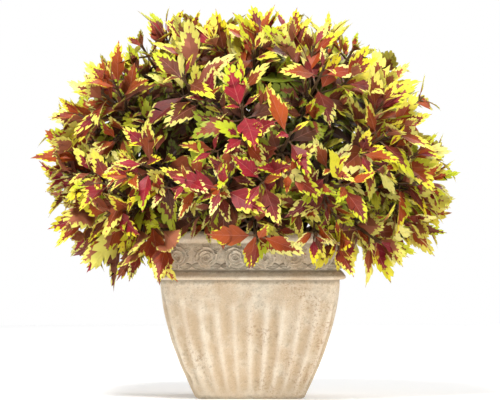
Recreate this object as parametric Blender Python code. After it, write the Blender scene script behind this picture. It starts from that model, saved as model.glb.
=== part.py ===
"""A coleus grown as a full mound in a square planter of cast stone.

The planter is one casting: a fluted body with bowed sides, a rolled bead, a frieze of roses and a lip.
It is filled with potting soil, and every leafy stem stands in its own hole in the soil.
Each stem is square, as coleus stems are, and carries its leaves in opposite pairs, each pair turned a
quarter from the one below. The blades are cut into forward teeth and folded along the midrib.
"""

import math
import random

import bmesh
import bpy
import numpy as np
from mathutils import Matrix, Vector
from mathutils.bvhtree import BVHTree

# Planter, in metres. Half widths are measured square to a side.
FOOT_HALF = 0.085
SHOULDER_HALF = 0.141
SHOULDER_Z = 0.188
SIDE_BOW = 1.7
CORNER_SHARE = 0.2
FOOT_BAND = 0.006
FLUTES_PER_SIDE = 10
FLUTE_DEPTH = 0.0042
FLUTE_RUN_IN = 0.004
FLUTE_RUN_OUT = 0.012
FLUTE_TOP_Z = 0.180
BEAD_HALF = 0.150
BEAD_HEIGHT = 0.012
FRIEZE_HALF = 0.1415
FRIEZE_FLARE = 0.0025
FRIEZE_LOW_Z = 0.2035
FRIEZE_HIGH_Z = 0.2465
LIP_HALF = 0.1525
LIP_ROUNDING = 0.008
RIM_Z = 0.266
WALL = 0.015
FLOOR_THICKNESS = 0.015
DRAIN_RADIUS = 0.006
DRAIN_OFFSET = 0.042
ROSES_PER_SIDE = 6
ROSE_RADIUS = 0.0168
ROSE_PETALS = 5

# Across one flute, from ridge to ridge: the place of each point and the share of the depth it is sunk
FLUTE_SECTION = ((0.0, 0.0), (0.3, 1.0), (0.7, 1.0))

# Soil and the holes that the stems stand in
SOIL_TOP_Z = 0.240
CLEARANCE = 0.0004
STEM_BURIED = 0.030
HOLE_HALF = 0.0040

# The mound that the shoot tips lie on: a rounded dome turned about the planter's axis
STEMS = 41
MOUND_CENTRE_Z = 0.380
MOUND_RADIUS = 0.300
MOUND_RISE = 0.205
MOUND_SQUARENESS = 2.4
LOWEST_TIP_Z = 0.238
LOW_CROWDING = 1.5
GOLDEN_ANGLE = math.pi * (3 - math.sqrt(5))
PLANTED_RADIUS = 0.104

# Shoots that stand out at the front, as (x, z) of the tip. Each takes the place of the nearest one.
FRONT_SHOOTS = (
    (0.062, 0.420),
    (-0.104, 0.510),
    (0.115, 0.522),
    (-0.012, 0.462),
    (-0.045, 0.334),
    (-0.165, 0.372),
    (0.150, 0.340),
    (0.012, 0.252),
)

# How a stem runs, as shares of the straight distance from its root to its tip. Low ones arch and droop.
RISE = 0.42
ARCHING_RISE = 0.25
TIP_RUN = 0.36
TIP_LIFT = 0.10
TIP_DROOP = 0.55
AIM_BELOW_CENTRE = 0.09
STEM_HALF_LOW = 0.0034
STEM_HALF_TIP = 0.0017
TAPER_SHARE = 0.7
NODE_HEIGHT = 0.0050
APEX_LENGTH = 0.006
CURVE_STEPS = 80

# Pairs of leaves, from the youngest to the oldest: distance from the tip, length and angle off the shoot
PAIR_DISTANCES = (0.006, 0.020, 0.040, 0.066)
LEAF_LENGTHS = (0.058, 0.080, 0.092, 0.090)
LEAF_ANGLES = (38, 64, 84, 98)
BLADE_ASPECT = 0.62
PETIOLE_SHARE = 0.16
PETIOLE_HALF = 0.0013
RIB_HALF = 0.0010
RIB_SHARE = 0.50
BLADE_SKEW = 0.85
BLADE_FULLNESS = 0.75
FOLD = math.radians(16)

# How far a leaf may stray from its rule, in degrees, at the first try and more at each later one
SWING = (8, 34)
TILT = (8, 26)
LENGTH_SPREAD = (0.90, 1.14)
MOST_SHRINK = 0.36
LIGHT_TURN = 0.35
ARCH = (0.10, 0.45)
SAG = 0.75
TRIES = 26
TEST_THICKENING = 1.5

# The cut edge of a blade from its base to its tip, as (share of the length, share of the width)
YOUNG_EDGE = ((0.36, 1.0), (0.48, 0.62), (0.68, 1.0))
FULL_EDGE = ((0.27, 0.94), (0.36, 0.62), (0.51, 1.0), (0.60, 0.60), (0.76, 1.0))
EDGES = (YOUNG_EDGE, FULL_EDGE, FULL_EDGE, FULL_EDGE)

STONE_COLOUR = (0.62, 0.50, 0.36)
SOIL_COLOUR = (0.045, 0.030, 0.020)
CRIMSON = Vector((0.36, 0.035, 0.040))
CHARTREUSE = Vector((0.60, 0.56, 0.045))


def clear_scene():
    for obj in list(bpy.data.objects):
        bpy.data.objects.remove(obj, do_unlink=True)


def finish_of(name, colour, roughness):
    material = bpy.data.materials.new(name)
    material.use_nodes = True
    shader = material.node_tree.nodes["Principled BSDF"]
    shader.inputs["Base Color"].default_value = (*colour, 1)
    shader.inputs["Roughness"].default_value = roughness
    shader.inputs["Metallic"].default_value = 0.0
    return material


def object_from(bm, name):
    mesh = bpy.data.meshes.new(name)
    bm.to_mesh(mesh)
    bm.free()
    obj = bpy.data.objects.new(name, mesh)
    bpy.context.scene.collection.objects.link(obj)
    return obj


def cutter_from(bm, name):
    cutter = object_from(bm, name)
    cutter.hide_render = True
    cutter.display_type = "WIRE"
    return cutter


def cut(obj, cutter):
    modifier = obj.modifiers.new(cutter.name, "BOOLEAN")
    modifier.operation = "DIFFERENCE"
    modifier.object = cutter


def apply_modifiers(obj):
    graph = bpy.context.evaluated_depsgraph_get()
    mesh = bpy.data.meshes.new_from_object(obj.evaluated_get(graph))
    obj.modifiers.clear()
    obj.data = mesh


def remove(objects):
    for obj in objects:
        bpy.data.objects.remove(obj, do_unlink=True)


def loft(rings, bm=None):
    """Adds a closed solid through rings of equal count, from the lowest to the highest."""
    bm = bm or bmesh.new()
    loops = [[bm.verts.new(point) for point in ring] for ring in rings]
    for low, high in zip(loops, loops[1:]):
        for k, corner in enumerate(low):
            after = (k + 1) % len(low)
            bm.faces.new((corner, low[after], high[after], high[k]))
    bm.faces.new(list(reversed(loops[0])))
    bm.faces.new(loops[-1])
    return bm


# The rounded square that the planter's outlines follow


def perimeter_point(share):
    """Point and outward normal on the rounded square of half width 1, a share of the way round it."""
    reach = 1 - CORNER_SHARE
    arc, straight = CORNER_SHARE * math.pi / 2, 2 * reach
    side, walked = divmod(share % 1 * 4 * (arc + straight), arc + straight)
    bend = min(walked, arc / 2) + max(0, walked - arc / 2 - straight)
    run = min(max(0, walked - arc / 2), straight)
    angle = math.pi / 4 + bend / CORNER_SHARE
    normal = Vector((math.cos(angle), math.sin(angle), 0))
    turn = Matrix.Rotation(side * math.pi / 2, 3, "Z")
    return turn @ (Vector((reach - run, reach, 0)) + CORNER_SHARE * normal), turn @ normal


def plain_ring(half, z, corner_steps=3):
    """The rounded square with points only round its corners."""
    ring = []
    for corner in range(4):
        middle = (corner + 0.5) * math.pi / 2
        centre = Vector((math.cos(middle), math.sin(middle))) * (1 - CORNER_SHARE) * math.sqrt(2)
        for step in range(corner_steps + 1):
            angle = (corner + step / corner_steps) * math.pi / 2
            spot = centre + CORNER_SHARE * Vector((math.cos(angle), math.sin(angle)))
            ring.append(Vector((spot.x * half, spot.y * half, z)))
    return ring


def fluted_ring(half, z, depth):
    """Each flute's ridge on the rounded square, and the two edges of its floor sunk below it."""
    ring = []
    for flute in range(4 * FLUTES_PER_SIDE):
        for across, sunk in FLUTE_SECTION:
            point, normal = perimeter_point((flute + across) / (4 * FLUTES_PER_SIDE))
            ring.append(Vector((*(point * half - normal * depth * sunk).xy, z)))
    return ring


def body_half(z):
    """Half the width of the bowed side at a height."""
    return FOOT_HALF + (SHOULDER_HALF - FOOT_HALF) * (1 - max(0, 1 - z / SHOULDER_Z) ** SIDE_BOW)


# Planter


def planter_body():
    low, high = FOOT_BAND + FLUTE_RUN_IN, FLUTE_TOP_Z - FLUTE_RUN_OUT
    levels = [low + (high - low) * share for share in (0, 0.3, 0.65, 1)]
    rings = [fluted_ring(body_half(z), z, 0) for z in (0, FOOT_BAND)]
    rings += [fluted_ring(body_half(z), z, FLUTE_DEPTH) for z in levels]
    rings.append(fluted_ring(body_half(FLUTE_TOP_Z), FLUTE_TOP_Z, 0))
    rings.append(fluted_ring(SHOULDER_HALF, SHOULDER_Z + BEAD_HEIGHT / 2, 0))
    return object_from(loft(rings), "planter")


def planter_collar():
    """The bead, the groove over it, the frieze and the lip, as one profile round the square."""
    bead_half_height = BEAD_HEIGHT / 2
    lip_middle = (FRIEZE_HIGH_Z + RIM_Z) / 2
    profile = [(SHOULDER_HALF - 0.004, SHOULDER_Z)]
    for angle in (-1.2, -0.5, 0.2, 0.9):
        sunk = bead_half_height * (1 - math.cos(angle))
        profile.append((BEAD_HALF - sunk, SHOULDER_Z + bead_half_height * (1 + math.sin(angle))))
    profile.append((FRIEZE_HALF - 0.002, FRIEZE_LOW_Z - 0.002))
    profile.append((FRIEZE_HALF, FRIEZE_LOW_Z))
    profile.append((FRIEZE_HALF + FRIEZE_FLARE, FRIEZE_HIGH_Z))
    for angle in (-1.1, -0.3, 0.6, math.pi / 2):
        sunk = LIP_ROUNDING * (1 - math.cos(angle))
        profile.append((LIP_HALF - sunk, lip_middle + (RIM_Z - lip_middle) * math.sin(angle)))
    return object_from(loft([plain_ring(half, z) for half, z in profile]), "collar")


def rose_mesh():
    """A rose in the XY plane, facing +Z: notched outer petals, a hollow inside them and a raised bud."""
    bm = bmesh.new()

    def loop(size, height, turn):
        steps = [2 * math.pi * (petal + turn) / ROSE_PETALS for petal in range(ROSE_PETALS)]
        reach = ROSE_RADIUS * size
        return [bm.verts.new((reach * math.cos(step), reach * math.sin(step), height)) for step in steps]

    back = loop(0.90, -0.0030, 0)
    notches = loop(0.90, 0.0030, 0)
    petals = loop(1.06, 0.0038, 0.5)
    hollow = loop(0.54, 0.0016, 0)
    bud = loop(0.42, 0.0054, 0.5)
    heart = bm.verts.new((0, 0, 0.0030))
    for k in range(ROSE_PETALS):
        after = (k + 1) % ROSE_PETALS
        bm.faces.new((back[k], back[after], petals[k]))
        bm.faces.new((back[k], petals[k], notches[k]))
        bm.faces.new((back[after], notches[after], petals[k]))
        bm.faces.new((notches[k], petals[k], hollow[k]))
        bm.faces.new((petals[k], hollow[after], hollow[k]))
        bm.faces.new((petals[k], notches[after], hollow[after]))
        bm.faces.new((hollow[k], hollow[after], bud[k]))
        bm.faces.new((hollow[after], bud[after], bud[k]))
        bm.faces.new((bud[k], bud[after], heart))
    bm.faces.new(list(reversed(back)))
    mesh = bpy.data.meshes.new("rose")
    bm.to_mesh(mesh)
    bm.free()
    return mesh


def frieze_roses():
    mesh = rose_mesh()
    roses = []
    for k in range(4 * ROSES_PER_SIDE):
        spot, outward = perimeter_point((k + 0.5) / (4 * ROSES_PER_SIDE))
        place = spot * (FRIEZE_HALF + FRIEZE_FLARE / 2)
        place.z = (FRIEZE_LOW_Z + FRIEZE_HIGH_Z) / 2 - 0.001
        rose = bpy.data.objects.new("rose", mesh)
        rose.location = place
        rose.rotation_euler = outward.to_track_quat("Z", "Y").to_euler()
        roses.append(rose)
    return roses


def cavity_rings(gap, top_z):
    """The inside of the planter, drawn in by a gap, from its floor to a height."""
    levels = (FLOOR_THICKNESS + gap, 0.07, 0.13, SHOULDER_Z, top_z)
    return [plain_ring(body_half(z) - WALL - gap, z) for z in levels]


def make_planter():
    planter = planter_body()
    castings = bpy.data.collections.new("castings")
    bpy.context.scene.collection.children.link(castings)
    collar = planter_collar()
    bpy.context.scene.collection.objects.unlink(collar)
    for piece in [collar] + frieze_roses():
        castings.objects.link(piece)
    union = planter.modifiers.new("castings", "BOOLEAN")
    union.operation = "UNION"
    union.operand_type = "COLLECTION"
    union.collection = castings
    cutters = [cutter_from(loft(cavity_rings(0, RIM_Z + 0.01)), "cavity")]
    for side_x in (-1, 1):
        for side_y in (-1, 1):
            bm = bmesh.new()
            bmesh.ops.create_cone(
                bm, cap_ends=True, segments=8, radius1=DRAIN_RADIUS, radius2=DRAIN_RADIUS, depth=0.05
            )
            drain = cutter_from(bm, "drain")
            drain.location = (side_x * DRAIN_OFFSET, side_y * DRAIN_OFFSET, 0)
            cutters.append(drain)
    for cutter in cutters:
        cut(planter, cutter)
    apply_modifiers(planter)
    remove(list(castings.objects) + cutters)
    bpy.data.collections.remove(castings)
    return planter


def make_soil(stems):
    """The soil, with a square hole round the foot of each stem, turned as the stem is."""
    soil = object_from(loft(cavity_rings(CLEARANCE, SOIL_TOP_Z)), "soil")
    holes = bmesh.new()
    for stem in stems:
        section = stem.ring(stem.length, HOLE_HALF)
        low, high = SOIL_TOP_Z - STEM_BURIED - CLEARANCE, SOIL_TOP_Z + STEM_BURIED
        loft([[Vector((*corner.xy, z)) for corner in section] for z in (low, high)], holes)
    cutter = cutter_from(holes, "stem_holes")
    cut(soil, cutter)
    apply_modifiers(soil)
    remove([cutter])
    return soil


# Stems


def mound_profile(steps=240):
    """The dome's outline as (radius, height), from its top down to the lowest shoots."""
    outline = []
    for step in range(steps + 1):
        lean = math.radians(150) * step / steps
        across, up = math.sin(lean), math.cos(lean)
        share = (across / MOUND_RADIUS) ** MOUND_SQUARENESS + abs(up / MOUND_RISE) ** MOUND_SQUARENESS
        reach = share ** (-1 / MOUND_SQUARENESS)
        outline.append((across * reach, MOUND_CENTRE_Z + up * reach))
    return np.array([spot for spot in outline if spot[1] >= LOWEST_TIP_Z])


def shoot_tips():
    """Tips spread over the dome by the golden angle, closer below, then the front ones in their places."""
    profile = mound_profile()
    steps = np.hypot(*np.diff(profile, axis=0).T)
    crowding = np.where(profile[1:, 1] < MOUND_CENTRE_Z, LOW_CROWDING, 1)
    rings = (profile[1:, 0] + profile[:-1, 0]) / 2 * steps * crowding
    area = np.concatenate([[0], np.cumsum(rings)])
    tips = []
    for k in range(STEMS):
        wanted = area[-1] * (k + 0.5) / STEMS
        radius = float(np.interp(wanted, area, profile[:, 0]))
        height = float(np.interp(wanted, area, profile[:, 1]))
        angle = k * GOLDEN_ANGLE
        tips.append(Vector((radius * math.cos(angle), radius * math.sin(angle), height)))
    free = list(range(STEMS))
    for x, z in FRONT_SHOOTS:
        level = abs(z - MOUND_CENTRE_Z) / MOUND_RISE
        radius = MOUND_RADIUS * (1 - level**MOUND_SQUARENESS) ** (1 / MOUND_SQUARENESS)
        place = Vector((x, -math.sqrt(radius**2 - x**2), z))
        nearest = min(free, key=lambda k: (tips[k] - place).length)
        free.remove(nearest)
        tips[nearest] = place
    return tips


class Stem:
    """One leafy stem: a curve from its hole in the soil to its tip, and the frame of its square section."""

    def __init__(self, number, tip):
        self.number = number
        planted = PLANTED_RADIUS * math.sqrt((number + 0.5) / STEMS)
        turn = number * GOLDEN_ANGLE
        root = Vector((planted * math.cos(turn), planted * math.sin(turn), SOIL_TOP_Z))
        droop = min(1, max(0, (MOUND_CENTRE_Z - tip.z) / (MOUND_CENTRE_Z - LOWEST_TIP_Z)))
        aim = (tip - Vector((0, 0, MOUND_CENTRE_Z - AIM_BELOW_CENTRE))).normalized()
        aim.z += TIP_LIFT - TIP_DROOP * droop
        reach = (tip - root).length
        rise = Vector((0, 0, (RISE + ARCHING_RISE * droop) * reach))
        self.handles = (root, root + rise, tip - aim.normalized() * TIP_RUN * reach, tip)
        self.across = Vector((-tip.y, tip.x, 0)).normalized()
        self.twist = random.Random(7000 + number).uniform(0, math.pi / 2)
        walked = np.array([self.point(step / CURVE_STEPS) for step in range(CURVE_STEPS + 1)])
        strides = np.linalg.norm(np.diff(walked, axis=0), axis=1)
        self.walked = np.concatenate([[0], np.cumsum(strides)])
        self.length = float(self.walked[-1])

    def point(self, share):
        rest = 1 - share
        weights = (rest**3, 3 * rest**2 * share, 3 * rest * share**2, share**3)
        return sum((handle * weight for handle, weight in zip(self.handles, weights)), Vector())

    def frame(self, from_tip):
        """Point, direction of growth and the two directions square to it, at a distance from the tip."""
        shares = np.linspace(0, 1, CURVE_STEPS + 1)
        share = float(np.interp(self.length - from_tip, self.walked, shares))
        growth = (self.point(min(share + 0.01, 1)) - self.point(max(share - 0.01, 0))).normalized()
        first = (self.across - growth * self.across.dot(growth)).normalized()
        return self.point(share), growth, first, growth.cross(first)

    def outward(self, from_tip, quarters):
        """The direction square to the stem, so many quarter turns round from its first face."""
        _, _, first, second = self.frame(from_tip)
        angle = self.twist + quarters * math.pi / 2
        return first * math.cos(angle) + second * math.sin(angle)

    def ring(self, from_tip, half):
        point = self.frame(from_tip)[0]
        return [point + self.outward(from_tip, k + 0.5) * half * math.sqrt(2) for k in range(4)]

    def half_at(self, from_tip):
        share = min(1, from_tip / (TAPER_SHARE * self.length))
        return STEM_HALF_TIP + (STEM_HALF_LOW - STEM_HALF_TIP) * share

    def rings(self):
        """Every ring of the stem from its buried foot up to its last pair of leaves."""
        section = self.ring(self.length, STEM_HALF_LOW)
        foot = [Vector((*corner.xy, SOIL_TOP_Z - STEM_BURIED)) for corner in section]
        stations = [self.length - 0.002, (self.length + PAIR_DISTANCES[-1]) / 2]
        for distance in reversed(PAIR_DISTANCES):
            stations += [distance + NODE_HEIGHT / 2, distance - NODE_HEIGHT / 2]
        return [foot] + [self.ring(station, self.half_at(station)) for station in stations]

    def tree(self):
        points = [corner for ring in self.rings() for corner in ring]
        faces = []
        for low in range(0, len(points) - 4, 4):
            for k in range(4):
                after = (k + 1) % 4
                faces.append((low + k, low + after, low + after + 4, low + k + 4))
        return BVHTree.FromPolygons(points, faces)


# Leaves


class Leaf:
    """One blade on its petiole, bent along an arc and folded along its midrib."""

    def __init__(self, origin, along, normal, length, bend, edge):
        self.origin, self.along, self.normal = origin, along, normal
        self.across = along.cross(normal)
        self.length, self.bend, self.edge = length, bend, edge

    def spot(self, share, sideways, lift):
        """A point at a share of the blade's length, so far sideways and so far off the rib's own line."""
        walked = self.length * (PETIOLE_SHARE + (1 - PETIOLE_SHARE) * share)
        turned = self.bend * walked / self.length
        radius = self.length / self.bend
        forward = self.along * radius * math.sin(turned)
        down = self.normal * radius * (1 - math.cos(turned))
        upward = self.along * math.sin(turned) + self.normal * math.cos(turned)
        return self.origin + forward - down + self.across * sideways + upward * lift

    def points(self, rib_half=RIB_HALF):
        """Right edge, left edge, upper rib, lower rib and tip, in that order."""
        widest = BLADE_ASPECT / 2 * self.length * (1 - PETIOLE_SHARE)
        found = []
        for hand in (1, -1):
            found.append(self.spot(0, hand * PETIOLE_HALF, 0))
            for share, reach in self.edge:
                half = widest * reach * math.sin(math.pi * share**BLADE_SKEW) ** BLADE_FULLNESS
                found.append(self.spot(share, hand * half * math.cos(FOLD), half * math.sin(FOLD)))
        for lift in (rib_half, -rib_half):
            found += [self.spot(0, 0, lift), self.spot(RIB_SHARE, 0, lift)]
        return found + [self.spot(1, 0, 0)]

    def faces(self):
        """The blade's triangles, split alike on its upper and lower faces."""
        count = len(self.edge) + 1
        tip = 2 * count + 4
        turn = len(self.edge) // 2
        triangles = []
        for first, mirrored in ((0, False), (count, True)):
            chain = list(range(first, first + count)) + [tip]
            for rib, under in ((2 * count, False), (2 * count + 2, True)):
                made = [(rib, a, b) for a, b in zip(chain[:turn], chain[1 : turn + 1])]
                made.append((rib, chain[turn], rib + 1))
                made += [(rib + 1, a, b) for a, b in zip(chain[turn:], chain[turn + 1 :])]
                triangles += [face[::-1] if mirrored != under else face for face in made]
        return triangles

    def collar(self):
        """The blade's four base points, in the order of the stem's corners that they are joined to."""
        count = len(self.edge) + 1
        return 2 * count + 2, count, 2 * count, 0

    def trees(self):
        """The blade, a little thickened, and the same with its petiole."""
        points, faces = self.points(TEST_THICKENING * RIB_HALF), self.faces()
        base = len(points)
        low, left, high, right = self.collar()
        petiole = [(base, right, left), (base, high, low)]
        blade = BVHTree.FromPolygons(points, faces)
        return blade, BVHTree.FromPolygons(points + [self.origin], faces + petiole)


def proposed_leaf(stem, pair, hand, attempt, draw):
    """The leaf as its rule gives it, or at a later attempt one that is turned, raised or shortened."""
    distance = PAIR_DISTANCES[pair]
    loosened = attempt / TRIES
    swing, tilt = (math.radians(first + more * loosened) for first, more in (SWING, TILT))
    point, growth, _, _ = stem.frame(distance)
    outward = stem.outward(distance, pair % 2 + 2 * hand)
    swung = draw.uniform(-1, 1) * swing
    angle = math.radians(LEAF_ANGLES[pair]) + draw.uniform(-1, 1) * tilt
    length = LEAF_LENGTHS[pair] * draw.uniform(*LENGTH_SPREAD) * (1 - MOST_SHRINK * loosened)
    outward = outward * math.cos(swung) + growth.cross(outward) * math.sin(swung)
    along = growth * math.cos(angle) + outward * math.sin(angle)
    normal = growth * math.sin(angle) - outward * math.cos(angle)
    # The blade rolls part of the way round to face the light, which comes from above and outside.
    light = Vector((point.x, point.y, 0.22)).normalized()
    side = along.cross(normal)
    roll = LIGHT_TURN * math.atan2(light.dot(side), max(light.dot(normal), 0.2))
    normal = normal * math.cos(roll) + side * math.sin(roll)
    bend = draw.uniform(*ARCH) + SAG * (1 - abs(along.z)) * max(normal.z, 0)
    origin = point + outward * stem.half_at(distance) * 0.8
    return Leaf(origin, along, normal, length, bend, EDGES[pair])


def planter_tree():
    """A plain block round the planter, which no leaf may enter."""
    levels = ((0.100, 0.0), (0.140, 0.10), (0.158, SHOULDER_Z), (0.158, RIM_Z + 0.004))
    rings = [plain_ring(half, z, 1) for half, z in levels]
    count = len(rings[0])
    points = [corner for ring in rings for corner in ring]
    faces = [list(range(len(points) - count, len(points)))]
    for low in range(0, len(points) - count, count):
        for k in range(count):
            after = (k + 1) % count
            faces.append((low + k, low + after, low + after + count, low + k + count))
    return BVHTree.FromPolygons(points, faces)


class Thicket:
    """What a new leaf has to stay clear of: the planter, the stems and the leaves that are there already."""

    def __init__(self, stems):
        self.planter = planter_tree()
        self.stems = [stem.tree() for stem in stems]
        self.leaves = []

    def takes(self, stem, leaf):
        """Whether the leaf crosses nothing. Leaves of its own stem may touch its petiole, not its blade."""
        blade, whole = leaf.trees()
        if whole.overlap(self.planter) or blade.overlap(self.stems[stem.number]):
            return False
        if any(whole.overlap(tree) for k, tree in enumerate(self.stems) if k != stem.number):
            return False
        middle = leaf.spot(0.4, 0, 0)
        reach = 0.62 * leaf.length
        for owner, tree, centre, radius in self.leaves:
            if (centre - middle).length < radius + reach:
                if (blade if owner == stem.number else whole).overlap(tree):
                    return False
        self.leaves.append((stem.number, whole, middle, reach))
        return True


def grow_leaves(stems):
    """The leaves by stem, pair and hand, the youngest pairs first. A leaf that finds no room is left off."""
    thicket = Thicket(stems)
    grown = {}
    for pair in range(len(PAIR_DISTANCES)):
        for stem in stems:
            for hand in range(2):
                draw = random.Random(100 * stem.number + 10 * pair + hand)
                tries = (proposed_leaf(stem, pair, hand, attempt, draw) for attempt in range(TRIES))
                leaf = next((leaf for leaf in tries if thicket.takes(stem, leaf)), None)
                if leaf:
                    grown[stem.number, pair, hand] = leaf
    return grown


def make_stem(stem, grown):
    """The stem and its leaves as one skin: each leaf grows out of a face of the square stem."""
    bm = bmesh.new()
    rings = [[bm.verts.new(corner) for corner in ring] for ring in stem.rings()]
    bm.faces.new(list(reversed(rings[0])))
    first_node = len(rings) - 2 * len(PAIR_DISTANCES)
    for level, (low, high) in enumerate(zip(rings, rings[1:])):
        node, above = divmod(level - first_node, 2)
        pair = len(PAIR_DISTANCES) - 1 - node
        for quarter in range(4):
            corners = (low[quarter - 1], low[quarter], high[quarter], high[quarter - 1])
            hand, turned = divmod(quarter, 2)
            leaf = None
            if node >= 0 and not above and turned == pair % 2:
                leaf = grown.get((stem.number, pair, hand))
            if leaf is None:
                bm.faces.new(corners)
                continue
            points = [bm.verts.new(point) for point in leaf.points()]
            for a, b, c in leaf.faces():
                bm.faces.new((points[a], points[b], points[c]))
            collar = [points[k] for k in leaf.collar()]
            for k in range(4):
                after = (k + 1) % 4
                bm.faces.new((corners[k], corners[after], collar[k]))
                bm.faces.new((corners[after], collar[after], collar[k]))
    point, growth, _, _ = stem.frame(0)
    apex = bm.verts.new(point + growth * APEX_LENGTH)
    for quarter in range(4):
        bm.faces.new((rings[-1][quarter - 1], rings[-1][quarter], apex))
    root = stem.handles[0]
    bmesh.ops.translate(bm, verts=bm.verts, vec=-root)
    leafy = object_from(bm, f"leafy_stem_{stem.number + 1:02d}")
    leafy.location = root
    return leafy


def main():
    clear_scene()
    stems = [Stem(number, tip) for number, tip in enumerate(shoot_tips())]
    grown = grow_leaves(stems)
    pot_and_plant = bpy.data.objects.new("potted_coleus", None)
    bpy.context.scene.collection.objects.link(pot_and_plant)
    pieces = [(make_planter(), STONE_COLOUR, 0.85), (make_soil(stems), SOIL_COLOUR, 0.95)]
    for stem in stems:
        yellow = random.Random(stem.number).uniform(0.1, 0.7)
        pieces.append((make_stem(stem, grown), CRIMSON.lerp(CHARTREUSE, yellow), 0.55))
    for obj, colour, roughness in pieces:
        obj.parent = pot_and_plant
        obj.data.materials.clear()
        obj.data.materials.append(finish_of(f"{obj.name}_finish", colour, roughness))


main()
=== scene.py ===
import math
import random

import bmesh
import bpy
import numpy as np
from mathutils import Matrix, Vector, noise
from mathutils.bvhtree import BVHTree


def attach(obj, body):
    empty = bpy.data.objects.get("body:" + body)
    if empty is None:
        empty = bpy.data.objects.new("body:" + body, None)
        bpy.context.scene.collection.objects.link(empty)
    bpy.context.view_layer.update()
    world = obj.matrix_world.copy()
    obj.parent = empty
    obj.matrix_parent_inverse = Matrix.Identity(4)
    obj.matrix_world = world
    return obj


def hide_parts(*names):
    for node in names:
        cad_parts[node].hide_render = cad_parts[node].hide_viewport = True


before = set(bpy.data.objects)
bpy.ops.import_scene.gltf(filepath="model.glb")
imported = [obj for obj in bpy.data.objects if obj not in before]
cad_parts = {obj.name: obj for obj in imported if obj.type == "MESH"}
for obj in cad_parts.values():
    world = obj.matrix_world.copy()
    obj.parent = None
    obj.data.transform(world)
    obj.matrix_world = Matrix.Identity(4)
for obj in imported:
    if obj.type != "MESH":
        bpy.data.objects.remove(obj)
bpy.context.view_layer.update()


# Camera. A long lens a little above the middle of the plant, as in the photograph, aimed so that the
# planter's foot stands just inside the lower edge of the picture.

VIEW_DISTANCE = 8.0
VIEW_HEIGHT = 0.42
FRAME_WIDTH_AT_POT = 0.797
FRAME_CENTRE = Vector((0, 0, 0.3132))
SENSOR_MM = 36

lens = bpy.data.cameras.new("long_lens")
lens.sensor_width = SENSOR_MM
camera = bpy.data.objects.new("camera", lens)
bpy.context.scene.collection.objects.link(camera)
camera.location = (0, -VIEW_DISTANCE, VIEW_HEIGHT)
looking = FRAME_CENTRE - camera.location
camera.rotation_euler = looking.to_track_quat("-Z", "Y").to_euler()
lens.lens = SENSOR_MM * looking.length / FRAME_WIDTH_AT_POT
bpy.context.scene.camera = camera


# Planter. One casting of sandy limestone mix from a mould: a square pot with bowed, fluted sides, a
# rolled bead, a frieze of roses and a thick lip. It is weathered, with rust-brown stains, and grey grime
# mixed with painted shade darkens its hollows and the undersides of its mouldings; the flute hollows
# carry more painted shade and their ridges a painted highlight. It stands on its foot by its own weight.

FOOT_HALF = 0.085
SHOULDER_HALF = 0.141
SHOULDER_Z = 0.188
SIDE_BOW = 1.7
CORNER_SHARE = 0.2
FLUTES_PER_SIDE = 10
FLUTE_DEPTH = 0.0040
FLUTE_LOW_Z = 0.010
FLUTE_HIGH_Z = 0.172
POINTS_PER_FLUTE = 8
FRIEZE_HALF = 0.1415
FRIEZE_FLARE = 0.0025
FRIEZE_LOW_Z = 0.2065
FRIEZE_HIGH_Z = 0.2465
RIM_Z = 0.266
WALL = 0.015
FLOOR_THICKNESS = 0.015
CHIP = Vector((-0.096, -0.096, 0.031))
CHIP_RADIUS = 0.014
CHIP_DEPTH = 0.006
WEATHERING = 0.0006
WEATHERING_SCALE = 40
ROSES_PER_SIDE = 6
ROSE_RADIUS = 0.0180
ROSE_MIDDLE_Z = 0.2250
# Rows of petals from the bud out: how far they reach, how many, and the height of their hollow and lip
PETAL_ROWS = ((0.34, 2, 0.0012, 0.0058), (0.67, 3, 0.0020, 0.0054), (1.02, 4, 0.0006, 0.0044))
ROW_TURN = 0.37
PETAL_LAP = 0.20
PETAL_TILT = 0.0008
CUP_START = 0.45
SPRIG_LENGTH = 0.022
SPRIG_HALF = 0.0052
SPRIG_RISE = 0.0019
CREASE_DEPTH = 0.0009
CREASE_WIDTH = 0.16
# Little leaves round each rose: how far right and up of its middle they lie, and their lean in degrees
SPRIG_PLACES = ((0.0150, 0.0120, 30), (-0.0150, 0.0120, 150), (0.0125, -0.0135, 4), (-0.0125, -0.0135, 176))
BACK_SUNK = 0.003
GRIME_AND_SHADE_FADE_HEIGHT = 0.0048


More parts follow.
